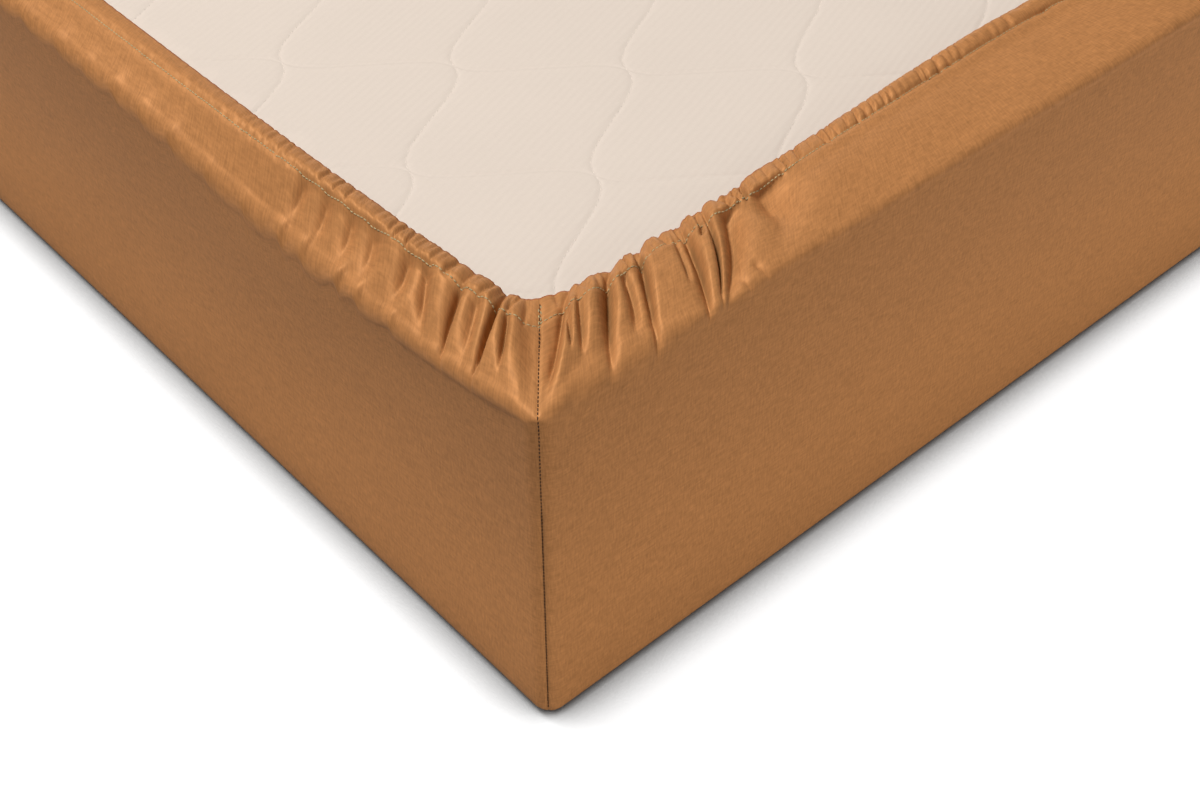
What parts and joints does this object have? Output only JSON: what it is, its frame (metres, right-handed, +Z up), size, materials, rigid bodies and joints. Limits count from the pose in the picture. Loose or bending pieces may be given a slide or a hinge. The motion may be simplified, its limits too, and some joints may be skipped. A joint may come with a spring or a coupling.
{
  "type": "fitted sheet on a mattress",
  "caption": "Fitted sheet with a gathered elastic hem, stretched over a plain mattress that lies underside up, so its turned band and corner folds show.",
  "frame": {"origin": "middle of the face that rests on the floor, which is the sheet's main panel", "axes": "+Z up from the floor, +Y along the mattress, +X across it"},
  "size_m": [0.9, 2, 0.2556],
  "materials": {
    "sheet_cotton": "cotton sateen with a soft sheen",
    "mattress_ticking": "matt knitted ticking"
  },
  "bodies": {
    "root": {"fitted_sheet": "sheet_cotton", "mattress": "mattress_ticking"}
  },
  "joints": []
}
